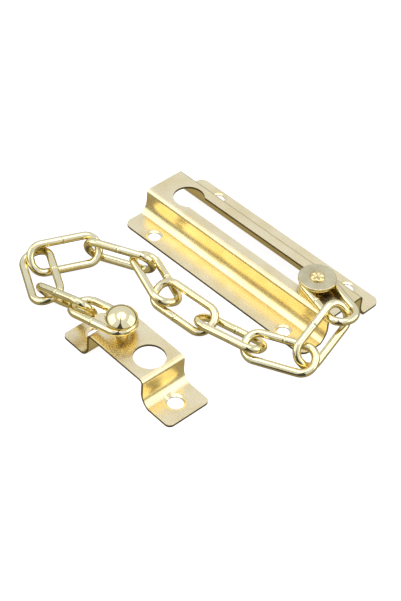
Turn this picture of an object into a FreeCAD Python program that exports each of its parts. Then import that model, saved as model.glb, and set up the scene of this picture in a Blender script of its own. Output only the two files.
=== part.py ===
"""Door chain guard: a slotted slide plate, a captive slider, a chain of welded links and an anchor bracket.

Millimetres. +Z points away from the door. The origin is the middle of the slide plate's back face,
+X runs along the slot from the keyhole towards the slider's resting end, and the chain and the
anchor bracket lie on the -Y side. Every piece is written as one STEP file in parts/.
"""
import FreeCAD, Part
import os
from collections import namedtuple
from math import asin, cos, degrees, radians, sin

Vector = FreeCAD.Vector
UP = Vector(0, 0, 1)

# Pressed sheet
SHEET = 1.0
CREASE_ROUND = 0.6
EDGE_BREAK = 0.15

# Slide plate
PLATE_LENGTH = 97.0
PLATE_WIDTH = 43.6
PLATE_RISE = 11.4
PLATE_WALL = 9.75            # half width over the raised centre
PLATE_BEND = 1.9             # outer radius where the flat top turns into the wall
PLATE_SWEEP_TOP = 6.3        # height where the wall starts to sweep outwards
PLATE_CREASE = 12.35         # half width at the crease between sweep and flange
PLATE_CORNER = 3.4
SCREW_SPACING_X = 70.0
SCREW_SPACING_Y = 35.6
PLATE_SCREW_HOLE = 5.0
PLATE_COUNTERSINK = 7.4
KEYHOLE_X = -34.6
KEYHOLE_DIAMETER = 12.5
SLOT_WIDTH = 8.8
SLOT_END_X = 34.0            # centre of the slot's round end

# Slider: a headed pin under the slot, and a washer that its peened end holds
SLIDER_X = 33.6
RUNNING_GAP = 0.15
COLLAR_PROUD = 0.05          # of the collar above the plate
HEAD_DIAMETER = 11.6
HEAD_THICKNESS = 1.6
COLLAR_DIAMETER = 8.3
SHANK_DIAMETER = 5.6
TENON_DIAMETER = 4.2
WASHER_DIAMETER = 14.4
WASHER_THICKNESS = 1.5
PEEN_DIAMETER = 5.8
PEEN_HEIGHT = 0.9

# Chain link, bent from round wire and butted on one side
WIRE = 3.1
LINK_LENGTH = 29.6
LINK_WIDTH = 14.0
BOW_FLAT = 1.0               # short straight piece in the middle of each bow

# Anchor bracket
BRACKET_LENGTH = 58.8
BRACKET_WIDTH = 19.6
BRACKET_RISE = 12.3
BRACKET_WALL = 15.2
BRACKET_BEND = 2.1
BRACKET_SWEEP_TOP = 6.0
BRACKET_CREASE = 18.4
BRACKET_CORNER = 2.2
BRACKET_SCREW_OFFSET = 21.9
BRACKET_SCREW_HOLE = 6.0
BRACKET_COUNTERSINK = 8.4
STUD_OFFSET = 8.1            # of the domed stud from the middle, to one side
BRACKET_HOLE = 12.0
BRACKET_HOLE_OFFSET = 7.35   # of the round hole from the middle, to the other side

# Domed stud
DOME_DIAMETER = 12.0
DOME_UNDERSIDE = 7.3         # above the platform
DOME_EDGE = 0.5              # height of the upright edge below the dome
DOME_HEIGHT = 3.6
NECK_DIAMETER = 5.0
STUD_TENON = 4.0
TAIL_DIAMETER = 5.6
TAIL_HEIGHT = 0.8

COUNTERSINK_DEPTH = 0.7

# How the chain has come to rest: the point where each link hooks the one before it, counted from
# the slider, and how far each link is rolled about its own length.
Hook = namedtuple("Hook", "x y z")
HOOKS = [
    Hook(49.9, -4.6, 13.8),
    Hook(52.4, -26.4, 4.8),
    Hook(36.5, -34.1, 4.6),
    Hook(14.4, -39.1, 4.6),
    Hook(-5.1, -40.9, 5.6),
    Hook(-20.5, -35.7, 6.7),
    Hook(-40.4, -45.3, 6.7),
    Hook(-50.4, -65.0, 5.6),
    Hook(-34.4, -73.6, 5.6),
    Hook(-12.2, -73.2, 13.0),
]
ROLLS = [0, -53, -24, 26, -29, 20, 69, -47, 18, -57, -7]
BRACKET_X = 12.5
BRACKET_Y = -71.9
BRACKET_TURN = -1.7
LAST_LINK_RISE = 3.8         # of the last link's wire centre above the platform, at the stud

WIRE_RADIUS = WIRE / 2
BOW_RADIUS = (LINK_WIDTH - WIRE) / 2
LINK_REACH = (LINK_LENGTH - WIRE) / 2

# Heights on the slider, from the plate's top face
COLLAR_TOP = PLATE_RISE + COLLAR_PROUD
FIRST_LINK_HEIGHT = PLATE_RISE + RUNNING_GAP + WIRE_RADIUS
WASHER_BOTTOM = FIRST_LINK_HEIGHT + WIRE_RADIUS + RUNNING_GAP
WASHER_TOP = WASHER_BOTTOM + WASHER_THICKNESS


def fuse(shapes):
    """Join shapes into one clean solid."""
    joined = shapes[0].fuse(shapes[1:])
    return joined.removeSplitter()


def disc(radius, low, high, x=0.0, y=0.0):
    """A cylinder standing on the height low."""
    return Part.makeCylinder(radius, high - low, Vector(x, y, low), UP)


def soften(shape, radius, wanted):
    """Round the edges for which wanted(edge) is true."""
    edges = [edge for edge in shape.Edges if wanted(edge)]
    return shape.makeFillet(radius, edges)


def is_straight_along(edge, axis):
    """True for a straight edge that runs along a unit axis."""
    if not isinstance(edge.Curve, Part.Line):
        return False
    return abs(edge.tangentAt(edge.FirstParameter).dot(axis)) > 0.999


# Pressed hat section -------------------------------------------------------------------------

def sweep_radius(wall, crease, sweep_top):
    """Radius of the concave sweep that leaves the wall upright and ends at the crease."""
    out = crease - wall
    drop = sweep_top - SHEET
    return (drop ** 2 + out ** 2) / (2 * out)


def half_section(wall, crease, sweep_top, bend, rise, end):
    """Closed outline of the sheet in the X-Z plane, from the middle of the top to the flange's end."""
    radius = sweep_radius(wall, crease, sweep_top)
    centre = Vector(wall + radius, 0, sweep_top)
    inner = radius + SHEET
    bend_centre = Vector(wall - bend, 0, rise - bend)
    slant = sin(radians(45))

    def on_sweep(size, angle):
        """A point of the sweep, angle degrees below the level of its centre."""
        return centre + Vector(-size * cos(radians(angle)), 0, -size * sin(radians(angle)))

    crease_angle = degrees(asin((sweep_top - SHEET) / radius))
    floor_angle = degrees(asin(sweep_top / inner))
    foot = on_sweep(inner, floor_angle)
    edges = [
        Part.LineSegment(Vector(0, 0, rise), Vector(wall - bend, 0, rise)),
        Part.Arc(Vector(wall - bend, 0, rise),
                 bend_centre + Vector(bend * slant, 0, bend * slant),
                 Vector(wall, 0, rise - bend)),
        Part.LineSegment(Vector(wall, 0, rise - bend), Vector(wall, 0, sweep_top)),
        Part.Arc(Vector(wall, 0, sweep_top),
                 on_sweep(radius, crease_angle / 2),
                 Vector(crease, 0, SHEET)),
        Part.LineSegment(Vector(crease, 0, SHEET), Vector(end, 0, SHEET)),
        Part.LineSegment(Vector(end, 0, SHEET), Vector(end, 0, 0)),
        Part.LineSegment(Vector(end, 0, 0), foot),
        Part.Arc(foot, on_sweep(inner, floor_angle / 2), Vector(wall - SHEET, 0, sweep_top)),
        Part.LineSegment(Vector(wall - SHEET, 0, sweep_top), Vector(wall - SHEET, 0, rise - bend)),
        Part.Arc(Vector(wall - SHEET, 0, rise - bend),
                 bend_centre + Vector((bend - SHEET) * slant, 0, (bend - SHEET) * slant),
                 Vector(wall - bend, 0, rise - SHEET)),
        Part.LineSegment(Vector(wall - bend, 0, rise - SHEET), Vector(0, 0, rise - SHEET)),
        Part.LineSegment(Vector(0, 0, rise - SHEET), Vector(0, 0, rise)),
    ]
    return Part.Wire([edge.toShape() for edge in edges])


def hat(wall, crease, sweep_top, bend, rise, length, width, corner):
    """Hat section spanning length along X and width along Y, with rounded flange corners."""
    outline = half_section(wall, crease, sweep_top, bend, rise, length / 2)
    half = Part.Face(outline).extrude(Vector(0, width, 0))
    half.translate(Vector(0, -width / 2, 0))
    other = half.mirror(Vector(0, 0, 0), Vector(1, 0, 0))
    body = fuse([half, other])

    def at_crease(edge):
        """The outer crease, where sweep and flange meet."""
        middle = edge.CenterOfMass
        along = is_straight_along(edge, Vector(0, 1, 0))
        return along and abs(abs(middle.x) - crease) < 0.01 and abs(middle.z - SHEET) < 0.01

    def at_corner(edge):
        """The four upright edges of the flange corners."""
        return is_straight_along(edge, UP) and abs(abs(edge.CenterOfMass.x) - length / 2) < 0.01

    body = soften(body, CREASE_ROUND, at_crease)
    return soften(body, corner, at_corner)


def countersunk_hole(x, y, through, mouth):
    """Cutter for a screw hole: a cone down to a short straight land."""
    land = disc(through / 2, -SHEET, 2 * SHEET, x, y)
    cone = Part.makeCone(through / 2, mouth / 2, COUNTERSINK_DEPTH,
                         Vector(x, y, SHEET - COUNTERSINK_DEPTH), UP)
    lead = disc(mouth / 2, SHEET, 2 * SHEET, x, y)
    return land.fuse([cone, lead])


def make_slide_plate():
    """The plate that is screwed to the door: a hat section with keyhole, slot and four screw holes."""
    body = hat(PLATE_WALL, PLATE_CREASE, PLATE_SWEEP_TOP, PLATE_BEND, PLATE_RISE,
               PLATE_WIDTH, PLATE_LENGTH, PLATE_CORNER)
    body.rotate(Vector(0, 0, 0), UP, 90)
    low = PLATE_RISE - 2 * SHEET
    high = PLATE_RISE + SHEET
    slot = Part.makeBox(SLOT_END_X - KEYHOLE_X, SLOT_WIDTH, high - low,
                        Vector(KEYHOLE_X, -SLOT_WIDTH / 2, low))
    cutters = [
        slot,
        disc(KEYHOLE_DIAMETER / 2, low, high, KEYHOLE_X),
        disc(SLOT_WIDTH / 2, low, high, SLOT_END_X),
    ]
    for side_x in (-1, 1):
        for side_y in (-1, 1):
            cutters.append(countersunk_hole(side_x * SCREW_SPACING_X / 2, side_y * SCREW_SPACING_Y / 2,
                                            PLATE_SCREW_HOLE, PLATE_COUNTERSINK))
    return body.cut(cutters)


# Slider --------------------------------------------------------------------------------------

def dome(radius, height, base, x, y):
    """A low rivet dome standing on the height base."""
    ball_radius = (radius ** 2 + height ** 2) / (2 * height)
    ball = Part.makeSphere(ball_radius, Vector(x, y, base + height - ball_radius))
    return ball.common(disc(radius, base, base + height, x, y))


def make_slider_pin():
    """Headed pin: head under the slot, collar in it, shank through the first link, peened end on top."""
    head_top = PLATE_RISE - SHEET - RUNNING_GAP
    head = disc(HEAD_DIAMETER / 2, head_top - HEAD_THICKNESS, head_top, SLIDER_X)
    collar = disc(COLLAR_DIAMETER / 2, head_top, COLLAR_TOP, SLIDER_X)
    shank = disc(SHANK_DIAMETER / 2, COLLAR_TOP, WASHER_BOTTOM, SLIDER_X)
    tenon = disc(TENON_DIAMETER / 2, WASHER_BOTTOM, WASHER_TOP, SLIDER_X)
    peen = dome(PEEN_DIAMETER / 2, PEEN_HEIGHT, WASHER_TOP, SLIDER_X, 0)
    return fuse([head, collar, shank, tenon, peen])


def make_slider_washer():
    """Flat round washer that keeps the first link on the pin."""
    body = disc(WASHER_DIAMETER / 2, WASHER_BOTTOM, WASHER_TOP, SLIDER_X)
    body = soften(body, 2 * EDGE_BREAK, lambda edge: isinstance(edge.Curve, Part.Circle))
    return body.cut(disc(TENON_DIAMETER / 2, WASHER_BOTTOM, WASHER_TOP, SLIDER_X))


# Chain ---------------------------------------------------------------------------------------

def make_link():
    """One link about its own middle: long axis X, flat side up, bows with a short flat in the middle."""
    corner = BOW_RADIUS - BOW_FLAT / 2
    side = LINK_REACH - corner
    flat = BOW_FLAT / 2
    pieces = []
    for turn in (0, 180):
        half = [
            Part.makeCylinder(WIRE_RADIUS, 2 * side, Vector(-side, -BOW_RADIUS, 0), Vector(1, 0, 0)),
            Part.makeCylinder(WIRE_RADIUS, BOW_FLAT, Vector(LINK_REACH, -flat, 0), Vector(0, 1, 0)),
        ]
        for offset, first_angle in ((-flat, -90), (flat, 0)):
            bend = Part.makeTorus(corner, WIRE_RADIUS, Vector(0, 0, 0), UP, -180, 180, 90)
            bend.rotate(Vector(0, 0, 0), UP, first_angle)
            bend.translate(Vector(side, offset, 0))
            half.append(bend)
        for piece in half:
            piece.rotate(Vector(0, 0, 0), UP, turn)
        pieces.extend(half)
    return fuse(pieces)


def frame_of(middle, along, roll):
    """Placement of a link: its middle, its long axis, and how far it is rolled about that axis."""
    level_side = UP.cross(along).normalize()
    upward = along.cross(level_side)
    side = level_side * cos(radians(roll)) + upward * sin(radians(roll))
    normal = along.cross(side)
    return FreeCAD.Placement(FreeCAD.Matrix(
        along.x, side.x, normal.x, middle.x,
        along.y, side.y, normal.y, middle.y,
        along.z, side.z, normal.z, middle.z,
        0, 0, 0, 1))


def link_frames():
    """Placements of all links, from the one on the slider to the one on the domed stud."""
    hooks = [Vector(*hook) for hook in HOOKS]
    pin = Vector(SLIDER_X, 0, FIRST_LINK_HEIGHT)
    outward = Vector(hooks[0].x - pin.x, hooks[0].y - pin.y, 0).normalize()
    pin_reach = LINK_REACH - WIRE_RADIUS - RUNNING_GAP - SHANK_DIAMETER / 2
    frames = [frame_of(pin + outward * pin_reach, outward, ROLLS[0])]
    for start, end, roll in zip(hooks[:-1], hooks[1:], ROLLS[1:-1]):
        frames.append(frame_of((start + end) * 0.5, (end - start).normalize(), roll))
    stud = bracket_placement().multVec(Vector(-STUD_OFFSET, 0, BRACKET_RISE + LAST_LINK_RISE))
    inward = (stud - hooks[-1]).normalize()
    stud_reach = LINK_REACH - WIRE_RADIUS - RUNNING_GAP - NECK_DIAMETER / 2
    frames.append(frame_of(stud - inward * stud_reach, inward, ROLLS[-1]))
    return frames


# Anchor bracket ------------------------------------------------------------------------------

def bracket_placement():
    """Where the anchor bracket lies, beside the plate and under the end of the chain."""
    return FreeCAD.Placement(Vector(BRACKET_X, BRACKET_Y, 0), FreeCAD.Rotation(UP, BRACKET_TURN))


def make_anchor_bracket():
    """Hat-shaped bracket for the door frame, about its own middle: two screw feet and a raised platform."""
    body = hat(BRACKET_WALL, BRACKET_CREASE, BRACKET_SWEEP_TOP, BRACKET_BEND, BRACKET_RISE,
               BRACKET_LENGTH, BRACKET_WIDTH, BRACKET_CORNER)
    low = BRACKET_RISE - 2 * SHEET
    high = BRACKET_RISE + SHEET
    cutters = [
        disc(BRACKET_HOLE / 2, low, high, BRACKET_HOLE_OFFSET),
        disc(STUD_TENON / 2, low, high, -STUD_OFFSET),
    ]
    for side in (-1, 1):
        cutters.append(countersunk_hole(side * BRACKET_SCREW_OFFSET, 0,
                                        BRACKET_SCREW_HOLE, BRACKET_COUNTERSINK))
    return body.cut(cutters)


def make_domed_stud():
    """Domed head on a neck, about the bracket's middle, its tenon riveted through the platform."""
    x = -STUD_OFFSET
    below = BRACKET_RISE - SHEET
    underside = BRACKET_RISE + DOME_UNDERSIDE
    edge_top = underside + DOME_EDGE
    edge = disc(DOME_DIAMETER / 2, underside, edge_top, x)
    head = dome(DOME_DIAMETER / 2, DOME_HEIGHT, edge_top, x, 0)
    neck = disc(NECK_DIAMETER / 2, BRACKET_RISE, underside, x)
    tenon = disc(STUD_TENON / 2, below, BRACKET_RISE, x)
    tail = dome(TAIL_DIAMETER / 2, TAIL_HEIGHT, 0, 0, 0)
    tail.rotate(Vector(0, 0, 0), Vector(1, 0, 0), 180)
    tail.translate(Vector(x, 0, below))
    return fuse([edge, head, neck, tenon, tail])


# Assembly ------------------------------------------------------------------------------------

def all_nodes():
    """Every piece in its place, by node name."""
    nodes = {
        "slide_plate": make_slide_plate(),
        "slider_pin": make_slider_pin(),
        "slider_washer": make_slider_washer(),
    }
    link = make_link()
    for number, frame in enumerate(link_frames(), start=1):
        copy = link.copy()
        copy.Placement = frame
        nodes["chain_link_%02d" % number] = copy
    for name, shape in (("anchor_bracket", make_anchor_bracket()), ("domed_stud", make_domed_stud())):
        shape.Placement = bracket_placement().multiply(shape.Placement)
        nodes[name] = shape
    return nodes


os.makedirs("parts", exist_ok=True)
for node_name, node_shape in all_nodes().items():
    node_shape.exportStep(os.path.join("parts", node_name + ".step"))
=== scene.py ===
"""Door chain guard in brass-plated steel: looks for the frame of the CAD model.

Lengths are in metres unless a name ends in _mm. +Z points out of the door, +X runs along the slot.
"""
import logging
from dataclasses import dataclass
from enum import Enum, IntEnum
from math import asin, atan2, cos, radians, sin, sqrt
from typing import Callable, Optional

import bmesh
import bpy
from mathutils import Matrix, Vector


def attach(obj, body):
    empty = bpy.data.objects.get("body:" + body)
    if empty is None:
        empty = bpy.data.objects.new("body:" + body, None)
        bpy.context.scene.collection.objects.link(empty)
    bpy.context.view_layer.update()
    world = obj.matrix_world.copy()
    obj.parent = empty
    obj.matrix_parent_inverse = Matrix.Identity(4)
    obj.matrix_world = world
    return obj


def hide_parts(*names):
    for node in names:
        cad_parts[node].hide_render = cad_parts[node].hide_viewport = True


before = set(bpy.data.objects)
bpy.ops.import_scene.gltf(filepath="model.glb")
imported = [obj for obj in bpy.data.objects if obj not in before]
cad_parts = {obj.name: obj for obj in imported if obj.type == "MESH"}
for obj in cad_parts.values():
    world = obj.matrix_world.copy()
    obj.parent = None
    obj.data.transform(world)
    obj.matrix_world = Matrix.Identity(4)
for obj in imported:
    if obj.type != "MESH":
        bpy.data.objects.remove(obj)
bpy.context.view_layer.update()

log = logging.getLogger("door_chain_guard")

MM = 0.001
Y_AXIS = Vector((0.0, 1.0, 0.0))
Z_AXIS = Vector((0.0, 0.0, 1.0))
MERGE_MM = 0.004             # closer vertices than this are one
SLACK_MM = 0.01              # a vertex this close to a border still counts as on it
SAME = 1e-6                  # places closer than this, in metres, are level with each other
LOOKS_UP = 0.9               # a face whose normal has more Z than this looks up
SMOOTH_ANGLE = radians(32)   # flatter folds than this are shaded smooth
SHARP_ANGLE = radians(35)    # sharper edges than this are broken


class SheetFace(IntEnum):
    """Kinds of face on a pressed sheet; the value is the index of the face's material."""

    ROLLED = 0               # the strip's own surface
    SHEARED = 1              # a punched edge
    CONE = 2                 # a countersink


# Modelling helpers ---------------------------------------------------------------------------

def deselect() -> None:
    """Leave nothing selected, so that an operator acts only on what is added next."""
    bpy.ops.object.select_all(action="DESELECT")


def active_piece(name: str) -> bpy.types.Object:
    """Name the object that was just added, and its mesh.

    Args:
        name: The piece's name.

    Returns:
        The object.
    """
    obj = bpy.context.view_layer.objects.active
    obj.name = name
    obj.data.name = name
    return obj


def focus(obj: bpy.types.Object) -> None:
    """Make an object the active one and the only one selected.

    Args:
        obj: The object.
    """
    deselect()
    obj.select_set(True)
    bpy.context.view_layer.objects.active = obj


def select_vertices(obj: bpy.types.Object, wanted: Callable[[Vector], bool]) -> None:
    """In edit mode, select just the vertices whose place passes a test, and what lies between them.

    Args:
        obj: The object in edit mode.
        wanted: The test on a vertex's place.
    """
    bpy.ops.mesh.select_mode(type="VERT")
    bpy.ops.mesh.select_all(action="DESELECT")
    mesh = bmesh.from_edit_mesh(obj.data)
    for vertex in mesh.verts:
        vertex.select = wanted(vertex.co)
    mesh.select_flush(True)
    bmesh.update_edit_mesh(obj.data)


def select_faces(obj: bpy.types.Object, wanted: Callable[[bmesh.types.BMFace], bool]) -> None:
    """In edit mode, select just the faces that pass a test.

    Args:
        obj: The object in edit mode.
        wanted: The test on a face.
    """
    bpy.ops.mesh.select_mode(type="FACE")
    bpy.ops.mesh.select_all(action="DESELECT")
    mesh = bmesh.from_edit_mesh(obj.data)
    for face in mesh.faces:
        face.select = wanted(face)
    mesh.select_flush(True)
    bmesh.update_edit_mesh(obj.data)


def select_edges(obj: bpy.types.Object, wanted: Callable[[bmesh.types.BMEdge], bool]) -> None:
    """In edit mode, select just the edges that pass a test.

    Args:
        obj: The object in edit mode.
        wanted: The test on an edge.
    """
    bpy.ops.mesh.select_mode(type="EDGE")
    bpy.ops.mesh.select_all(action="DESELECT")
    mesh = bmesh.from_edit_mesh(obj.data)
    for edge in mesh.edges:
        edge.select = wanted(edge)
    bmesh.update_edit_mesh(obj.data)


def extrude(offset: Vector) -> None:
    """Extrude what is selected and move it.

    Args:
        offset: How far and which way.
    """
    bpy.ops.mesh.extrude_region_move(TRANSFORM_OT_translate={"value": offset})


def spin(angle: float, centre: Vector, axis: Vector, steps: int) -> None:
    """Sweep what is selected round an axis.

    Args:
        angle: The sweep in radians, right-handed about the axis, which the operator counts the other way.
        centre: A point of the axis.
        axis: The axis.
        steps: How many strips the sweep has.
    """
    bpy.ops.mesh.spin(steps=steps, angle=-angle, center=centre, axis=axis)


def scale_about(centre: Vector, factor: float) -> None:
    """Scale what is selected about a point.

    Args:
        centre: The fixed point.
        factor: The scale.
    """
    bpy.ops.transform.resize(value=(factor, factor, factor), center_override=centre)


def clean(merge_mm: float = MERGE_MM) -> None:
    """In edit mode, merge doubles and turn every face outwards.

    Args:
        merge_mm: The merging distance.
    """
    bpy.ops.mesh.select_all(action="SELECT")
    bpy.ops.mesh.remove_doubles(threshold=merge_mm * MM)
    bpy.ops.mesh.normals_make_consistent(inside=False)


def edit() -> None:
    """Enter edit mode."""
    bpy.ops.object.mode_set(mode="EDIT")


def leave() -> None:
    """Leave edit mode."""
    bpy.ops.object.mode_set(mode="OBJECT")


def apply_modifier(obj: bpy.types.Object, kind: str, **settings: object) -> None:
    """Add a modifier with its settings and apply it.

    Args:
        obj: The object.
        kind: The modifier's type.
        **settings: The modifier's settings.
    """
    focus(obj)
    modifier = obj.modifiers.new(kind.title(), kind)
    for name, value in settings.items():
        setattr(modifier, name, value)
    bpy.ops.object.modifier_apply(modifier=modifier.name)


def cut(obj: bpy.types.Object, cutter: bpy.types.Object,
        finish: SheetFace = SheetFace.ROLLED) -> None:
    """Cut one solid with another, which is then deleted.

    Args:
        obj: The solid that stays.
        cutter: The solid that is taken away.
        finish: The kind of face that the cut's walls are.
    """
    for material in obj.data.materials:
        cutter.data.materials.append(material)
    for face in cutter.data.polygons:
        face.material_index = finish
    apply_modifier(obj, "BOOLEAN", operation="DIFFERENCE", solver="EXACT", object=cutter)
    bpy.data.objects.remove(cutter)


def break_edges(obj: bpy.types.Object, width_mm: float, segments: int = 2) -> None:
    """Break all sharp edges with a small round and shade the piece smooth.

    Args:
        obj: The piece.
        width_mm: Width of the round.
        segments: Steps across it.
    """
    apply_modifier(obj, "BEVEL", width=width_mm * MM, segments=segments, limit_method="ANGLE",
                   angle_limit=SHARP_ANGLE, use_clamp_overlap=True, harden_normals=False)
    smooth(obj)


def smooth(obj: bpy.types.Object) -> None:
    """Shade a piece smooth, with flat faces kept flat.

    Args:
        obj: The piece.
    """
    focus(obj)
    bpy.ops.object.shade_smooth_by_angle(angle=SMOOTH_ANGLE)
    apply_modifier(obj, "WEIGHTED_NORMAL", keep_sharp=True, weight=80)


def cylinder(name: str, radius_mm: float, low_mm: float, high_mm: float,
             x_mm: float = 0.0, y_mm: float = 0.0, sides: int = 64,
             top_radius_mm: Optional[float] = None) -> bpy.types.Object:
    """Add an upright cylinder or cone at its size and place.

    Args:
        name: Its name.
        radius_mm: Radius at its foot.
        low_mm: Height of its foot.
        high_mm: Height of its top.
        x_mm: Place of its axis along X.
        y_mm: Place of its axis along Y.
        sides: Number of sides.
        top_radius_mm: Radius at its top, where it is a cone.

    Returns:
        The object, with its place in its mesh.
    """
    deselect()
    top = radius_mm if top_radius_mm is None else top_radius_mm
    bpy.ops.mesh.primitive_cone_add(vertices=sides, radius1=radius_mm * MM, radius2=top * MM,
                                    depth=(high_mm - low_mm) * MM,
                                    location=(x_mm * MM, y_mm * MM, (low_mm + high_mm) / 2 * MM))
    obj = active_piece(name)
    bpy.ops.object.transform_apply(location=True, rotation=True, scale=True)
    return obj


def placed(columns: tuple[Vector, Vector, Vector, Vector]) -> Matrix:
    """Make a move from its columns.

    Args:
        columns: Where the X, Y and Z axes point, and where the origin goes.

    Returns:
        The move.
    """
    return Matrix([[column[row] for column in columns] for row in range(3)] + [[0, 0, 0, 1]])


# Materials -----------------------------------------------------------------------------------

def linear(hex_colour: str) -> tuple[float, float, float, float]:
    """Turn an sRGB hex colour to linear RGBA.

    Args:
        hex_colour: Six hex digits after a hash.

    Returns:
        Linear red, green, blue and alpha.
    """
    channels = [int(hex_colour[i:i + 2], 16) / 255 for i in (1, 3, 5)]
    curve = [c / 12.92 if c <= 0.04045 else ((c + 0.055) / 1.055) ** 2.4 for c in channels]
    return (curve[0], curve[1], curve[2], 1.0)


def add_node(tree: bpy.types.NodeTree, kind: str, settings: Optional[dict] = None,
             links: Optional[dict] = None) -> bpy.types.Node:
    """Add a node with its settings and links.

    Args:
        tree: The node tree.
        kind: The node's type.
        settings: Values by property name, or by input name or number.
        links: Output sockets by input name or number.

    Returns:
        The node.
    """
    node = tree.nodes.new(kind)
    for name, value in (settings or {}).items():
        if isinstance(name, str) and hasattr(node, name):
            setattr(node, name, value)
        else:
            node.inputs[name].default_value = value
    for name, socket in (links or {}).items():
        tree.links.new(socket, node.inputs[name])
    return node


class Grain(Enum):
    """How a plated surface was worked before plating."""

    ROLLED = "rolled"        # cold-rolled sheet: short faint streaks along the strip
    TORN = "torn"            # punched edge: even and rough
    TUMBLED = "tumbled"      # barrel-tumbled wire: soft shallow dimples
    TURNED = "turned"        # turned and buffed: close to a mirror
    COINED = "coined"        # struck washer: coarse matt grit

    @property
    def stretch(self) -> float:
        """Length of a grain over its width, along the strip."""
        return 2.5 if self is Grain.ROLLED else 1.0


@dataclass(frozen=True)
class PlatedFinish:
    """Bright brass plating over steel; the base metal's surface shows through the thin plating."""

    name: str
    grain: Grain
    bright: str              # sRGB of the plating where it is thickest
    deep: str                # sRGB where it is thinner or handled
    roughness: float
    roughness_swing: float
    grain_mm: float          # size of one grain
    dent_mm: float           # height of the grain
    patch_mm: float = 9.0    # size of the slow colour drift across the plating bath

    def build(self) -> bpy.types.Material:
        """Make the material.

        Returns:
            The material, named for the finish.
        """
        material = bpy.data.materials.new(self.name)
        material.use_nodes = True
        tree = material.node_tree
        tree.nodes.clear()
        place = add_node(tree, "ShaderNodeTexCoord")
        across = 1.0 / (self.grain_mm * MM)
        stretch = add_node(tree, "ShaderNodeMapping",
                           {"Scale": (across / self.grain.stretch, across, across)},
                           {"Vector": place.outputs["Object"]})
        grit = add_node(tree, "ShaderNodeTexNoise", {"Scale": 1.0, "Detail": 3.0, "Roughness": 0.55},
                        {"Vector": stretch.outputs["Vector"]})
        drift = add_node(tree, "ShaderNodeTexNoise", {"Scale": 1.0 / (self.patch_mm * MM), "Detail": 2.0},
                         {"Vector": place.outputs["Object"]})
        tint = add_node(tree, "ShaderNodeMix", {"data_type": "RGBA"})
        tint.inputs[6].default_value = linear(self.bright)
        tint.inputs[7].default_value = linear(self.deep)
        blend = add_node(tree, "ShaderNodeMapRange",
                         {"From Min": 0.35, "From Max": 0.7, "To Min": 0.0, "To Max": 1.0},
                         {"Value": drift.outputs["Fac"]})
        tree.links.new(blend.outputs["Result"], tint.inputs[0])
        gloss = add_node(tree, "ShaderNodeMapRange",
                         {"From Min": 0.3, "From Max": 0.7,
                          "To Min": self.roughness - self.roughness_swing,
                          "To Max": self.roughness + self.roughness_swing},
                         {"Value": grit.outputs["Fac"]})
        bump = add_node(tree, "ShaderNodeBump", {"Strength": 1.0, "Distance": self.dent_mm * MM},
                        {"Height": grit.outputs["Fac"]})
        shader = add_node(tree, "ShaderNodeBsdfPrincipled", {"Metallic": 1.0},
                          {"Base Color": tint.outputs[2], "Roughness": gloss.outputs["Result"],
                           "Normal": bump.outputs["Normal"]})
        add_node(tree, "ShaderNodeOutputMaterial", links={"Surface": shader.outputs["BSDF"]})
        return material


# Grains are drawn coarser and deeper than real ones, which are too fine to show at this size

# Thin brass plating over mill-finished strip: satin, cream gold, faint streaks
SATIN_PLATE = PlatedFinish("brass_plated_rolled_steel", Grain.ROLLED, "#F5E2A4", "#EDD692",
                           roughness=0.28, roughness_swing=0.06, grain_mm=0.40, dent_mm=0.005)
# Punched edge of the strip: torn, rougher and duller under the same plating; its colour is darkened as
# painted shade, which draws a dark rim round every outline
SHEARED_EDGE_AND_SHADE = PlatedFinish("brass_plated_sheared_edge_and_painted_shade", Grain.TORN, "#8E7E4C", "#6E6038",
                            roughness=0.42, roughness_swing=0.10, grain_mm=0.30, dent_mm=0.02)
# Countersinks, cut after pressing: brighter than the sheet around them
TURNED_CONE = PlatedFinish("brass_plated_turned_cone", Grain.TURNED, "#F3E0A0", "#EBD58C",
                           roughness=0.14, roughness_swing=0.04, grain_mm=0.6, dent_mm=0.01)
# The same plating over tumbled wire: bright, with shallow dimples from the barrel
BRIGHT_WIRE = PlatedFinish("brass_plated_tumbled_wire", Grain.TUMBLED, "#F0E2A8", "#E6D594",
                           roughness=0.08, roughness_swing=0.04, grain_mm=1.1, dent_mm=0.03)
# Buffed before plating: a clear mirror
MIRROR_STUD = PlatedFinish("brass_plated_buffed_steel", Grain.TURNED, "#F4E2A0", "#EEDA94",
                           roughness=0.05, roughness_swing=0.015, grain_mm=2.5, dent_mm=0.004)
# Struck from strip and left matt: fine grit under the plating
COINED_WASHER = PlatedFinish("brass_plated_coined_steel", Grain.COINED, "#E3D49A", "#C8B880",
                             roughness=0.16, roughness_swing=0.08, grain_mm=0.42, dent_mm=0.11)
# Peened by the riveting tool: bright, with fine hammer marks
PEENED_PIN = PlatedFinish("brass_plated_peened_steel", Grain.TUMBLED, "#EBD48E", "#D2B86E",
                          roughness=0.13, roughness_swing=0.05, grain_mm=0.7, dent_mm=0.09)


def dress(obj: bpy.types.Object, materials: list[bpy.types.Material], slot: str, body: str,
          *nodes: str) -> None:
    """Give a piece its materials and its body, and hide the CAD nodes it stands for.

    Args:
        obj: The piece.
        materials: Its materials, by face index.
        slot: The record's material slot; not used.
        body: The body it rides on.
        *nodes: The CAD nodes it stands for.
    """
    indices = [face.material_index for face in obj.data.polygons]
    obj.data.materials.clear()
    for material in materials:
        obj.data.materials.append(material)
    obj.data.polygons.foreach_set("material_index", indices)
    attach(obj, body)
    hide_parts(*nodes)
    log.info("%s: %d faces on body %s", obj.name, len(obj.data.polygons), body)


# Pressed sheet -------------------------------------------------------------------------------

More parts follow.
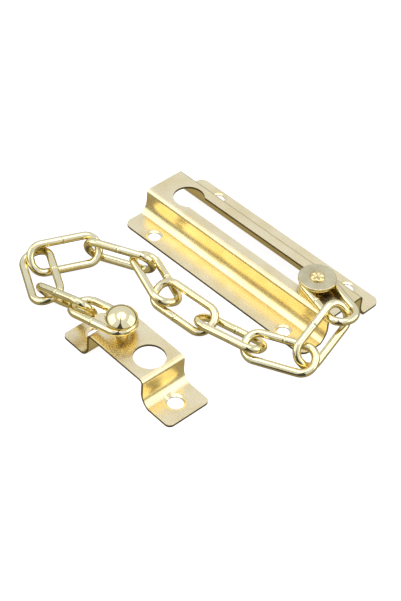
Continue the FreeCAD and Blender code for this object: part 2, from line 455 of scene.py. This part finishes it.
@dataclass(frozen=True)
class HatSection:
    """Hat section of pressed sheet, symmetric about its middle; sizes in millimetres."""

    sheet: float
    rise: float
    wall: float              # half width over the raised centre
    bend: float              # outer radius at the top
    sweep_top: float         # height where the wall starts to sweep outwards
    crease: float            # half width at the crease
    half_width: float        # half width over the flanges
    length: float            # extent across the section
    corner: float            # radius of the flange corners
    bend_steps: int = 10
    sweep_steps: int = 14
    corner_steps: int = 8

    def build(self, name: str) -> bpy.types.Object:
        """Model the section along X, spanning its length along Y.

        The upper skin is drawn as a strip from the flange's end to the middle of the top, mirrored,
        and given its thickness downwards.

        Args:
            name: The piece's name.

        Returns:
            The closed sheet, corners rounded.
        """
        out = self.crease - self.wall
        drop = self.sweep_top - self.sheet
        radius = (drop ** 2 + out ** 2) / (2 * out)
        deselect()
        flange = self.half_width - self.crease
        bpy.ops.mesh.primitive_plane_add(size=1.0)
        obj = active_piece(name)
        obj.scale = (flange * MM, self.length * MM, 1.0)
        obj.location = ((self.crease + flange / 2) * MM, 0.0, self.sheet * MM)
        bpy.ops.object.transform_apply(location=True, rotation=True, scale=True)
        edit()
        inner = (self.crease + SLACK_MM) * MM
        select_vertices(obj, lambda co: co.x < inner)
        sweep_centre = Vector((self.wall + radius, 0.0, self.sweep_top)) * MM
        spin(asin(drop / radius), sweep_centre, Y_AXIS, self.sweep_steps)
        extrude(Vector((0.0, 0.0, self.rise - self.bend - self.sweep_top)) * MM)
        bend_centre = Vector((self.wall - self.bend, 0.0, self.rise - self.bend)) * MM
        spin(radians(-90), bend_centre, Y_AXIS, self.bend_steps)
        extrude(Vector((self.bend - self.wall, 0.0, 0.0)) * MM)
        leave()
        apply_modifier(obj, "MIRROR", use_axis=(True, False, False), use_clip=True,
                       merge_threshold=MERGE_MM * MM)
        edit()
        clean()
        leave()
        self._face_up(obj)
        for part in SheetFace:
            obj.data.materials.append(bpy.data.materials.new(part.name.lower()))
        apply_modifier(obj, "SOLIDIFY", thickness=self.sheet * MM, offset=-1.0, use_even_offset=True,
                       material_offset_rim=SheetFace.SHEARED)
        edit()
        clean()
        end = (self.half_width - SLACK_MM) * MM
        side = (self.length / 2 - SLACK_MM) * MM

        def at_corner(edge: bmesh.types.BMEdge) -> bool:
            """True for the upright edges at the flange corners."""
            a, b = (vertex.co for vertex in edge.verts)
            upright = abs(a.x - b.x) < SAME and abs(a.y - b.y) < SAME
            return upright and abs(a.x) > end and abs(a.y) > side

        select_edges(obj, at_corner)
        bpy.ops.mesh.bevel(offset=self.corner * MM, segments=self.corner_steps, affect="EDGES")
        leave()
        return obj

    @staticmethod
    def _face_up(obj: bpy.types.Object) -> None:
        """Turn the open strip's faces so that its flat parts look upwards.

        Args:
            obj: The strip.
        """
        top = max(obj.data.polygons, key=lambda face: face.center.z)
        if top.normal.z < 0:
            focus(obj)
            edit()
            bpy.ops.mesh.select_all(action="SELECT")
            bpy.ops.mesh.flip_normals()
            leave()


def screw_hole(obj: bpy.types.Object, x_mm: float, y_mm: float, through_mm: float, mouth_mm: float,
               sheet_mm: float, depth_mm: float) -> None:
    """Cut a countersunk screw hole through a flange.

    Args:
        obj: The sheet.
        x_mm: Place along X.
        y_mm: Place along Y.
        through_mm: Diameter of the straight land.
        mouth_mm: Diameter of the cone's mouth.
        sheet_mm: Thickness of the sheet.
        depth_mm: Depth of the cone.
    """
    sides = 48
    land = cylinder("land_cutter", through_mm / 2, -sheet_mm, 2 * sheet_mm, x_mm, y_mm, sides)
    cut(obj, land, SheetFace.SHEARED)
    slope = (mouth_mm - through_mm) / 2 / depth_mm
    over = 0.5  # how far the cone's cutter stands above the sheet
    cone = cylinder("cone_cutter", through_mm / 2, sheet_mm - depth_mm, sheet_mm + over, x_mm, y_mm,
                    sides, top_radius_mm=through_mm / 2 + slope * (depth_mm + over))
    cut(obj, cone, SheetFace.CONE)


@dataclass
class SlidePlate:
    """Slide plate on the door: hat section with a keyhole, a slot and four countersunk holes."""

    section: HatSection = HatSection(sheet=1.0, rise=11.4, wall=9.75, bend=1.9, sweep_top=6.3,
                                     crease=12.35, half_width=21.8, length=97.0, corner=3.4)
    screw_x: float = 35.0
    screw_y: float = 17.8
    screw_through: float = 5.0
    screw_mouth: float = 7.4
    countersink_depth: float = 0.7
    keyhole_x: float = -34.6
    keyhole_diameter: float = 12.5
    slot_width: float = 8.8
    slot_end_x: float = 34.0

    def mesh(self) -> bpy.types.Object:
        """Model the plate in its place.

        Returns:
            The plate.
        """
        obj = self.section.build("slide_plate_pressing")
        obj.data.transform(Matrix.Rotation(radians(90), 4, "Z"))
        low = self.section.rise - 2 * self.section.sheet
        high = self.section.rise + self.section.sheet
        for side_x in (-1, 1):
            for side_y in (-1, 1):
                screw_hole(obj, side_x * self.screw_x, side_y * self.screw_y, self.screw_through,
                           self.screw_mouth, self.section.sheet, self.countersink_depth)
        keyhole = cylinder("keyhole_cutter", self.keyhole_diameter / 2, low, high,
                           self.keyhole_x, 0.0, 96)
        cut(obj, keyhole, SheetFace.SHEARED)
        deselect()
        run = self.slot_end_x - self.keyhole_x
        bpy.ops.mesh.primitive_cube_add(size=1.0)
        bar = active_piece("slot_cutter")
        bar.scale = (run * MM, self.slot_width * MM, (high - low) * MM)
        bar.location = ((self.keyhole_x + run / 2) * MM, 0.0, (low + high) / 2 * MM)
        bpy.ops.object.transform_apply(location=True, rotation=True, scale=True)
        cut(obj, bar, SheetFace.SHEARED)
        slot_end = cylinder("slot_end_cutter", self.slot_width / 2, low, high,
                            self.slot_end_x, 0.0, 96)
        cut(obj, slot_end, SheetFace.SHEARED)
        break_edges(obj, 0.16)
        return obj

    def dress(self, sheet: list[bpy.types.Material]) -> None:
        """Build the plate and finish it.

        Args:
            sheet: Materials of the rolled faces, the punched edges and the countersinks.
        """
        dress(self.mesh(), sheet, "plate", "slide_plate", "slide_plate")


# Slider --------------------------------------------------------------------------------------

@dataclass
class Slider:
    """Captive slider: headed pin, washer and the star-shaped peening that holds it."""

    x: float = 33.6
    head_low: float = 8.65
    head_top: float = 10.25
    head_diameter: float = 11.6
    collar_top: float = 11.45
    collar_diameter: float = 8.3
    shank_diameter: float = 5.6
    washer_low: float = 14.8
    washer_top: float = 16.3
    washer_diameter: float = 14.4
    tenon_diameter: float = 4.2
    peen_diameter: float = 5.8
    peen_height: float = 0.9
    star_points: int = 6
    star_floor: float = 0.3      # share of the peen's height below which nothing is pressed in
    star_middle: float = 0.5     # share of the peen's radius where the star is deepest
    star_spread: float = 0.42    # share of the radius over which it fades out
    star_depth: float = 0.42     # depth over the peen's height

    def pin(self) -> bpy.types.Object:
        """Turn the pin from one disc: head, collar, shank, tenon and a peened star on top.

        Returns:
            The pin.
        """
        sides = 96
        obj = cylinder("slider_rivet", self.head_diameter / 2, self.head_low, self.head_top,
                       self.x, 0.0, sides)
        edit()
        steps = [
            (self.head_diameter, self.collar_diameter, self.collar_top - self.head_top),
            (self.collar_diameter, self.shank_diameter, self.washer_low - self.collar_top),
            (self.shank_diameter, self.tenon_diameter, self.washer_top - self.washer_low),
        ]
        level = self.head_top
        for wide, narrow, height in steps:
            self._pick_top(obj, level)
            bpy.ops.mesh.inset(thickness=(wide - narrow) / 2 * MM)
            extrude(Vector((0.0, 0.0, height * MM)))
            level += height
        leave()
        self._peen(obj, sides)
        break_edges(obj, 0.12)
        return obj

    def _pick_top(self, obj: bpy.types.Object, level: float) -> None:
        """Select the flat face at a height.

        Args:
            obj: The pin in edit mode.
            level: Its height in millimetres.
        """
        select_faces(obj, lambda face: abs(face.calc_center_median().z - level * MM) < SAME
                     and face.normal.z > LOOKS_UP)

    def _peen(self, obj: bpy.types.Object, sides: int) -> None:
        """Spread the pin's end into a low dome with a star pressed into it.

        Args:
            obj: The pin.
            sides: Number of sides of the pin.
        """
        # Share of the peen's radius and of its height, from the rim inwards
        rings = ((1.0, 0.0), (1.0, 0.28), (0.93, 0.62), (0.78, 0.88), (0.6, 1.0), (0.42, 0.94),
                 (0.24, 0.62), (0.1, 0.5))
        edit()
        self._pick_top(obj, self.washer_top)
        centre = Vector((self.x * MM, 0.0, 0.0))
        size = self.tenon_diameter / 2
        level = 0.0
        for share, height in rings:
            target = share * self.peen_diameter / 2
            extrude(Vector((0.0, 0.0, (height - level) * self.peen_height * MM)))
            bpy.ops.transform.resize(value=(target / size, target / size, 1.0), center_override=centre)
            size = target
            level = height
        leave()
        base = self.washer_top + self.star_floor * self.peen_height
        for vertex in obj.data.vertices:
            z = vertex.co.z / MM
            if z <= base:
                continue
            x = vertex.co.x - centre.x
            radius = sqrt(x ** 2 + vertex.co.y ** 2) / (self.peen_diameter / 2 * MM)
            wave = 0.5 - 0.5 * cos(self.star_points * atan2(vertex.co.y, x))
            reach = max(0.0, 1.0 - abs(radius - self.star_middle) / self.star_spread)
            vertex.co.z -= self.star_depth * self.peen_height * wave * reach * MM

    def washer(self) -> bpy.types.Object:
        """Strike the washer: a disc with softly rounded rims and a hole for the tenon.

        Returns:
            The washer.
        """
        obj = cylinder("slider_disc", self.washer_diameter / 2, self.washer_low, self.washer_top,
                       self.x, 0.0, 128)
        cut(obj, cylinder("tenon_cutter", self.tenon_diameter / 2, self.washer_low - 1, self.washer_top + 1,
                          self.x, 0.0, 64))
        break_edges(obj, 0.32, 4)
        return obj

    def dress(self, pin: bpy.types.Material, washer: bpy.types.Material) -> None:
        """Build both pieces and finish them.

        Args:
            pin: The pin's material.
            washer: The washer's material.
        """
        dress(self.pin(), [pin], "pin", "slider", "slider_pin")
        dress(self.washer(), [washer], "washer", "slider", "slider_washer")


# Bracket -------------------------------------------------------------------------------------

@dataclass
class AnchorBracket:
    """Bracket on the door frame, with its riveted domed stud."""

    section: HatSection = HatSection(sheet=1.0, rise=12.3, wall=15.2, bend=2.1, sweep_top=6.0,
                                     crease=18.4, half_width=29.4, length=19.6, corner=2.2)
    x: float = 12.5
    y: float = -71.9
    turn: float = -1.7
    screw_offset: float = 21.9
    screw_through: float = 6.0
    screw_mouth: float = 8.4
    countersink_depth: float = 0.7
    stud_offset: float = 8.1
    hole_offset: float = 7.35
    hole_diameter: float = 12.0
    dome_diameter: float = 12.0
    dome_underside: float = 7.3
    dome_edge: float = 0.5
    dome_height: float = 3.6
    last_link_rise: float = 3.8  # wire centre of the last link above the platform, at the stud
    neck_diameter: float = 5.0
    tenon_diameter: float = 4.0
    tail_diameter: float = 5.6
    tail_height: float = 0.8

    def place(self) -> Matrix:
        """Where the bracket lies.

        Returns:
            The move from the bracket's middle to its place.
        """
        shift = Matrix.Translation(Vector((self.x, self.y, 0.0)) * MM)
        return shift @ Matrix.Rotation(radians(self.turn), 4, "Z")

    def sheet(self) -> bpy.types.Object:
        """Model the bent sheet.

        Returns:
            The bracket in its place.
        """
        obj = self.section.build("anchor_bracket_pressing")
        low = self.section.rise - 2 * self.section.sheet
        high = self.section.rise + self.section.sheet
        for side in (-1, 1):
            screw_hole(obj, side * self.screw_offset, 0.0, self.screw_through, self.screw_mouth,
                       self.section.sheet, self.countersink_depth)
        hole = cylinder("hole_cutter", self.hole_diameter / 2, low, high, self.hole_offset, 0.0, 96)
        cut(obj, hole, SheetFace.SHEARED)
        cut(obj, cylinder("tenon_cutter", self.tenon_diameter / 2, low, high, -self.stud_offset, 0.0, 48))
        break_edges(obj, 0.16)
        obj.data.transform(self.place())
        return obj

    def stud(self) -> bpy.types.Object:
        """Turn the domed stud from one ball: the dome's cap, its edge, neck, tenon and riveted tail.

        Returns:
            The stud in its place.
        """
        deselect()
        radius = self.dome_diameter / 2
        edge_top = self.section.rise + self.dome_underside + self.dome_edge
        ball = (radius ** 2 + self.dome_height ** 2) / (2 * self.dome_height)
        bpy.ops.mesh.primitive_uv_sphere_add(
            segments=96, ring_count=96, radius=ball * MM,
            location=(-self.stud_offset * MM, 0.0, (edge_top + self.dome_height - ball) * MM))
        obj = active_piece("domed_stud_turned")
        bpy.ops.object.transform_apply(location=True, rotation=True, scale=True)
        edit()
        bpy.ops.mesh.select_all(action="SELECT")
        bpy.ops.mesh.bisect(plane_co=(0.0, 0.0, edge_top * MM), plane_no=(0.0, 0.0, 1.0), clear_inner=True,
                            use_fill=True)
        self._pick_bottom(obj)
        extrude(Vector((0.0, 0.0, -self.dome_edge * MM)))
        for target, drop in ((self.neck_diameter / 2, self.dome_underside),
                             (self.tenon_diameter / 2, self.section.sheet)):
            self._pick_bottom(obj)
            bpy.ops.mesh.inset(thickness=(radius - target) * MM)
            extrude(Vector((0.0, 0.0, -drop * MM)))
            radius = target
        centre = Vector((-self.stud_offset * MM, 0.0, 0.0))
        self._pick_bottom(obj)
        size = radius
        done = 0.0
        # Share of the tail's radius and of its height, from the sheet downwards
        tail = ((1.0, 0.0), (1.0, 0.25), (0.85, 0.7), (0.5, 0.95), (0.15, 1.0))
        for share, height in tail:
            target = share * self.tail_diameter / 2
            extrude(Vector((0.0, 0.0, (done - height) * self.tail_height * MM)))
            bpy.ops.transform.resize(value=(target / size, target / size, 1.0), center_override=centre)
            size = target
            done = height
        bpy.ops.mesh.select_all(action="SELECT")
        bpy.ops.mesh.normals_make_consistent(inside=False)
        leave()
        break_edges(obj, 0.22, 3)
        obj.data.transform(self.place())
        return obj

    @staticmethod
    def _pick_bottom(obj: bpy.types.Object) -> None:
        """Select the lowest face, which looks down.

        Args:
            obj: The stud in edit mode.
        """
        faces = bmesh.from_edit_mesh(obj.data).faces
        low = min(face.calc_center_median().z for face in faces)
        select_faces(obj, lambda face: face.calc_center_median().z < low + SAME)

    def dress(self, sheet: list[bpy.types.Material], stud: bpy.types.Material) -> None:
        """Build both pieces and finish them.

        Args:
            sheet: Materials of the bracket's rolled faces, its punched edges and its countersinks.
            stud: The stud's material.
        """
        dress(self.sheet(), sheet, "bracket", "bracket", "anchor_bracket")
        dress(self.stud(), [stud], "stud", "bracket", "domed_stud")


# Chain ---------------------------------------------------------------------------------------

@dataclass
class Chain:
    """Eleven butt-welded wire links from the slider to the domed stud; sizes in millimetres."""

    wire: float = 3.1
    length: float = 29.6
    width: float = 14.0
    bow_flat: float = 1.0
    gap: float = 0.15
    # Where each link hooks the one before it, counted from the slider
    hooks: tuple = (
        (49.9, -4.6, 13.8),
        (52.4, -26.4, 4.8),
        (36.5, -34.1, 4.6),
        (14.4, -39.1, 4.6),
        (-5.1, -40.9, 5.6),
        (-20.5, -35.7, 6.7),
        (-40.4, -45.3, 6.7),
        (-50.4, -65.0, 5.6),
        (-34.4, -73.6, 5.6),
        (-12.2, -73.2, 13.0),
    )
    rolls: tuple = (0, -53, -24, 26, -29, 20, 69, -47, 18, -57, -7)
    # Which bar of each link carries the weld
    weld_side: tuple = (1, 1, 1, 1, -1, 1, -1, 1, -1, 1, 1)
    around: int = 28
    bend_steps: int = 14

    def link(self) -> bpy.types.Object:
        """Bend one link from wire about its own middle, long axis X, and weld it in the middle of a bar.

        Returns:
            The link.
        """
        wire_radius = self.wire / 2
        reach = (self.length - self.wire) / 2
        bow = (self.width - self.wire) / 2
        corner = bow - self.bow_flat / 2
        side = reach - corner
        flat = self.bow_flat / 2
        deselect()
        bpy.ops.mesh.primitive_circle_add(vertices=self.around, radius=wire_radius * MM,
                                          location=(0.0, -bow * MM, 0.0), rotation=(0.0, radians(90), 0.0))
        obj = active_piece("link_pattern")
        bpy.ops.object.transform_apply(location=True, rotation=True, scale=True)
        # Bead of the weld: a fine seam between two slightly upset ends, as millimetres from
        # the seam and share of the wire's radius
        bead = ((0.0, 0.86), (0.09, 0.985), (0.22, 1.035), (0.75, 1.03), (1.25, 1.0))
        edit()
        bpy.ops.mesh.select_mode(type="VERT")
        bpy.ops.mesh.select_all(action="SELECT")
        at = 0.0
        size = 1.0
        for place, share in bead:
            if place > 0:
                extrude(Vector(((place - at) * MM, 0.0, 0.0)))
            scale_about(Vector((place, -bow, 0.0)) * MM, share / size)
            at = place
            size = share
        extrude(Vector(((side - at) * MM, 0.0, 0.0)))
        spin(radians(90), Vector((side, -flat, 0.0)) * MM, Z_AXIS, self.bend_steps)
        extrude(Vector((0.0, self.bow_flat * MM, 0.0)))
        spin(radians(90), Vector((side, flat, 0.0)) * MM, Z_AXIS, self.bend_steps)
        extrude(Vector((-2 * side * MM, 0.0, 0.0)))
        spin(radians(90), Vector((-side, flat, 0.0)) * MM, Z_AXIS, self.bend_steps)
        extrude(Vector((0.0, -self.bow_flat * MM, 0.0)))
        spin(radians(90), Vector((-side, -flat, 0.0)) * MM, Z_AXIS, self.bend_steps)
        size = 1.0
        at = side
        for place, share in reversed(bead):
            extrude(Vector(((at - place) * MM, 0.0, 0.0)))
            scale_about(Vector((-place, -bow, 0.0)) * MM, share / size)
            at = place
            size = share
        clean()
        leave()
        focus(obj)
        bpy.ops.object.shade_smooth()
        return obj

    @staticmethod
    def frame(middle: Vector, along: Vector, roll: float, flip: int) -> Matrix:
        """Where a link lies.

        Args:
            middle: Its middle, in millimetres.
            along: Its long axis.
            roll: Its roll about that axis in degrees.
            flip: 1, or -1 where the link lies the other way round.

        Returns:
            The move from the pattern to its place.
        """
        level_side = Z_AXIS.cross(along).normalized()
        upward = along.cross(level_side)
        across = level_side * cos(radians(roll)) + upward * sin(radians(roll))
        normal = along.cross(across)
        columns = (along * flip, across * flip, normal, middle * MM)
        return placed(columns)

    def frames(self, slider: Slider, bracket: AnchorBracket) -> list[Matrix]:
        """Where all links lie, counted from the slider.

        Args:
            slider: The slider that holds the first link.
            bracket: The bracket whose stud holds the last link.

        Returns:
            One move for each link.
        """
        reach = (self.length - self.wire) / 2
        hooks = [Vector(hook) for hook in self.hooks]
        pin = Vector((slider.x, 0.0, slider.washer_low - self.gap - self.wire / 2))
        outward = Vector((hooks[0].x - pin.x, hooks[0].y, 0.0)).normalized()
        hold = bracket.section.rise + bracket.last_link_rise
        stud = bracket.place() @ Vector((-bracket.stud_offset * MM, 0.0, hold * MM)) / MM
        inward = (stud - hooks[-1]).normalized()
        pin_reach = reach - self.wire / 2 - self.gap - slider.shank_diameter / 2
        stud_reach = reach - self.wire / 2 - self.gap - bracket.neck_diameter / 2
        spans = [(pin + outward * pin_reach, outward)]
        spans += [((a + b) / 2, (b - a).normalized()) for a, b in zip(hooks[:-1], hooks[1:])]
        spans.append((stud - inward * stud_reach, inward))
        return [self.frame(middle, along, roll, flip)
                for (middle, along), roll, flip in zip(spans, self.rolls, self.weld_side)]

    def dress(self, slider: Slider, bracket: AnchorBracket, material: bpy.types.Material) -> None:
        """Build every link and finish it.

        Args:
            slider: The slider that holds the first link.
            bracket: The bracket whose stud holds the last link.
            material: The wire's material.
        """
        pattern = self.link()
        for number, place in enumerate(self.frames(slider, bracket), start=1):
            link = pattern.copy()
            link.data = pattern.data.copy()
            link.name = f"wire_link_{number:02d}"
            link.data.name = link.name
            bpy.context.scene.collection.objects.link(link)
            link.data.transform(place)
            node = f"chain_link_{number:02d}"
            dress(link, [material], "chain", node, node)
        bpy.data.objects.remove(pattern)


# Studio --------------------------------------------------------------------------------------

@dataclass
class Studio:
    """Pale sweep, soft light and the camera."""

    azimuth: float = -42.50      # of the view, from +Y towards +X
    elevation: float = 43.69
    roll: float = 4.53
    distance: float = 0.600
    shift_right: float = -0.0190
    shift_up: float = -0.0146
    lens_mm: float = 92.48
    floor_colour: str = "#A8A8A8"
    floor_glow: float = 0.86
    floor_size: float = 3.0
    floor_drop: float = 0.00008  # keeps the floor clear of the undersides
    softbox_size: tuple = (1.1, 0.8)
    softbox_watts: float = 3.2
    aim: tuple = (0.0, -0.03, 0.0)
    # Dark opening of the tent; heights are the Z of the direction looked in
    gap_colour: tuple = (0.07, 0.07, 0.065)
    gap_offset: float = 0.05
    gap_top: float = 0.74
    gap_top_half_width: float = 0.045
    gap_half_width: float = 0.42
    gap_foot: tuple = (-0.72, -0.50)
    gap_front: tuple = (-0.08, 0.0)
    gap_blur: float = 0.02
    # Light of the tent by height of the direction: floor below, a dark seam, cool cloth above
    tent_stops: tuple = (
        (-1.0, (0.10, 0.08, 0.05)),
        (1.0, (3.0, 3.0, 3.6)),
        (-0.93, (0.22, 0.19, 0.12)),
        (-0.80, (0.42, 0.37, 0.25)),
        (-0.35, (0.40, 0.37, 0.29)),
        (-0.07, (0.50, 0.49, 0.44)),
        (-0.045, (0.04, 0.04, 0.03)),
        (0.04, (0.04, 0.04, 0.03)),
        (0.08, (0.80, 0.87, 1.10)),
        (0.45, (0.80, 0.88, 1.25)),
        (0.78, (0.80, 0.89, 1.38)),
        (0.90, (0.95, 1.00, 1.30)),
        (0.935, (2.6, 2.6, 3.2)),
    )

    def camera(self) -> None:
        """Set the camera, upright frame, long side 36 mm of film."""
        az, el, roll = (radians(a) for a in (self.azimuth, self.elevation, self.roll))
        look = Vector((sin(az) * cos(el), cos(az) * cos(el), -sin(el)))
        level_right = look.cross(Z_AXIS).normalized()
        level_up = level_right.cross(look)
        right = cos(roll) * level_right + sin(roll) * level_up
        up = -sin(roll) * level_right + cos(roll) * level_up
        place = -look * self.distance + right * self.shift_right + up * self.shift_up
        data = bpy.data.cameras.new("camera")
        data.lens = self.lens_mm
        data.clip_start = 0.01
        data.clip_end = 20.0
        obj = bpy.data.objects.new("camera", data)
        bpy.context.scene.collection.objects.link(obj)
        columns = (right, up, -look, place)
        obj.matrix_world = placed(columns)
        bpy.context.scene.camera = obj

    def floor(self) -> None:
        """Lay the floor: grey-white acrylic lit from within, as on a light table."""
        deselect()
        bpy.ops.mesh.primitive_plane_add(size=self.floor_size, location=(0.0, 0.0, -self.floor_drop))
        obj = active_piece("floor")
        bpy.ops.object.transform_apply(location=True, rotation=True, scale=True)
        material = bpy.data.materials.new("white_acrylic_sweep")
        material.use_nodes = True
        shader = material.node_tree.nodes["Principled BSDF"]
        shader.inputs["Base Color"].default_value = linear(self.floor_colour)
        shader.inputs["Roughness"].default_value = 0.7
        shader.inputs["Specular IOR Level"].default_value = 0.2
        shader.inputs["Emission Color"].default_value = (1.0, 1.0, 1.0, 1.0)
        shader.inputs["Emission Strength"].default_value = self.floor_glow
        obj.data.materials.append(material)
        # Mirror-like surfaces reflect the tent's painted lower half instead of the floor
        obj.visible_glossy = False

    def tent(self) -> None:
        """Light tent as the world: white above, a dark gap low down and a dark opening behind the lens."""
        world = bpy.data.worlds.new("light_tent")
        bpy.context.scene.world = world
        world.use_nodes = True
        tree = world.node_tree
        tree.nodes.clear()
        direction = add_node(tree, "ShaderNodeTexCoord").outputs["Generated"]
        height = add_node(tree, "ShaderNodeSeparateXYZ", links={0: direction}).outputs["Z"]
        level = add_node(tree, "ShaderNodeMapRange", {"From Min": -1.0, "From Max": 1.0}, {"Value": height})
        walls = add_node(tree, "ShaderNodeValToRGB", links={0: level.outputs["Result"]})
        ramp = walls.color_ramp
        for index, (place, colour) in enumerate(self.tent_stops):
            if index < 2:
                stop = ramp.elements[index]
                stop.position = (place + 1) / 2
            else:
                stop = ramp.elements.new((place + 1) / 2)
            stop.color = (*colour, 1.0)
        gap = self._lens_gap(tree, direction, height)
        light = add_node(tree, "ShaderNodeMix", {"data_type": "RGBA", 7: (*self.gap_colour, 1.0)},
                         {0: gap, 6: walls.outputs["Color"]})
        back = add_node(tree, "ShaderNodeBackground", {"Strength": 1.0}, {"Color": light.outputs[2]})
        add_node(tree, "ShaderNodeOutputWorld", links={"Surface": back.outputs["Background"]})

    def _lens_gap(self, tree: bpy.types.NodeTree, direction: bpy.types.NodeSocket,
                  height: bpy.types.NodeSocket) -> bpy.types.NodeSocket:
        """Mark the tent's dark opening: a wedge, narrow at lens height and wide at the floor.

        Args:
            tree: The world's nodes.
            direction: The direction looked in.
            height: Its Z.

        Returns:
            One inside the opening, zero outside.
        """
        az = radians(self.azimuth)
        toward = (-sin(az), -cos(az), 0.0)
        sideways = (cos(az), -sin(az), 0.0)
        front, side = (add_node(tree, "ShaderNodeVectorMath", {"operation": "DOT_PRODUCT", 1: axis},
                                {0: direction}) for axis in (toward, sideways))
        centred = add_node(tree, "ShaderNodeMath", {"operation": "ADD", 1: self.gap_offset},
                           {0: side.outputs["Value"]})
        off = add_node(tree, "ShaderNodeMath", {"operation": "ABSOLUTE"}, {0: centred.outputs["Value"]})
        reach = add_node(tree, "ShaderNodeMapRange",
                         {"From Min": self.gap_top, "From Max": 0.0,
                          "To Min": self.gap_top_half_width, "To Max": self.gap_half_width},
                         {"Value": height})
        spare = add_node(tree, "ShaderNodeMath", {"operation": "SUBTRACT"},
                         {0: reach.outputs["Result"], 1: off.outputs["Value"]})
        inside = add_node(tree, "ShaderNodeMapRange",
                          {"From Min": -self.gap_blur, "From Max": self.gap_blur},
                          {"Value": spare.outputs["Value"]})
        ahead = add_node(tree, "ShaderNodeMapRange",
                         {"From Min": self.gap_front[0], "From Max": self.gap_front[1]},
                         {"Value": front.outputs["Value"]})
        above = add_node(tree, "ShaderNodeMapRange",
                         {"From Min": self.gap_foot[0], "From Max": self.gap_foot[1]},
                         {"Value": height})
        both = add_node(tree, "ShaderNodeMath", {"operation": "MULTIPLY"},
                        {0: inside.outputs["Result"], 1: ahead.outputs["Result"]})
        whole = add_node(tree, "ShaderNodeMath", {"operation": "MULTIPLY"},
                         {0: both.outputs["Value"], 1: above.outputs["Result"]})
        return whole.outputs["Value"]

    def softbox(self, name: str, place: Vector) -> None:
        """Hang one soft light that looks at the object.

        Args:
            name: Its name.
            place: Where it hangs.
        """
        data = bpy.data.lights.new(name, "AREA")
        data.shape = "RECTANGLE"
        data.size, data.size_y = self.softbox_size
        data.energy = self.softbox_watts
        obj = bpy.data.objects.new(name, data)
        bpy.context.scene.collection.objects.link(obj)
        obj.location = place
        obj.rotation_euler = (Vector(self.aim) - place).to_track_quat("-Z", "Y").to_euler()

    def build(self) -> None:
        """Build the studio."""
        bpy.context.scene.view_settings.view_transform = "Standard"
        self.camera()
        self.floor()
        self.tent()
        self.softbox("left_softbox", Vector((-0.60, -0.80, 0.60)))
        self.softbox("right_softbox", Vector((0.80, 0.60, 0.55)))
        log.info("studio ready")


def main() -> None:
    """Build the guard, piece by piece, and the studio."""
    Studio().build()
    sheet = [SATIN_PLATE.build(), SHEARED_EDGE_AND_SHADE.build(), TURNED_CONE.build()]
    wire = BRIGHT_WIRE.build()
    slider = Slider()
    bracket = AnchorBracket()
    SlidePlate().dress(sheet)
    slider.dress(PEENED_PIN.build(), COINED_WASHER.build())
    bracket.dress(sheet, MIRROR_STUD.build())
    Chain().dress(slider, bracket, wire)


if __name__ == "__main__":
    logging.basicConfig(level=logging.INFO)
    main()
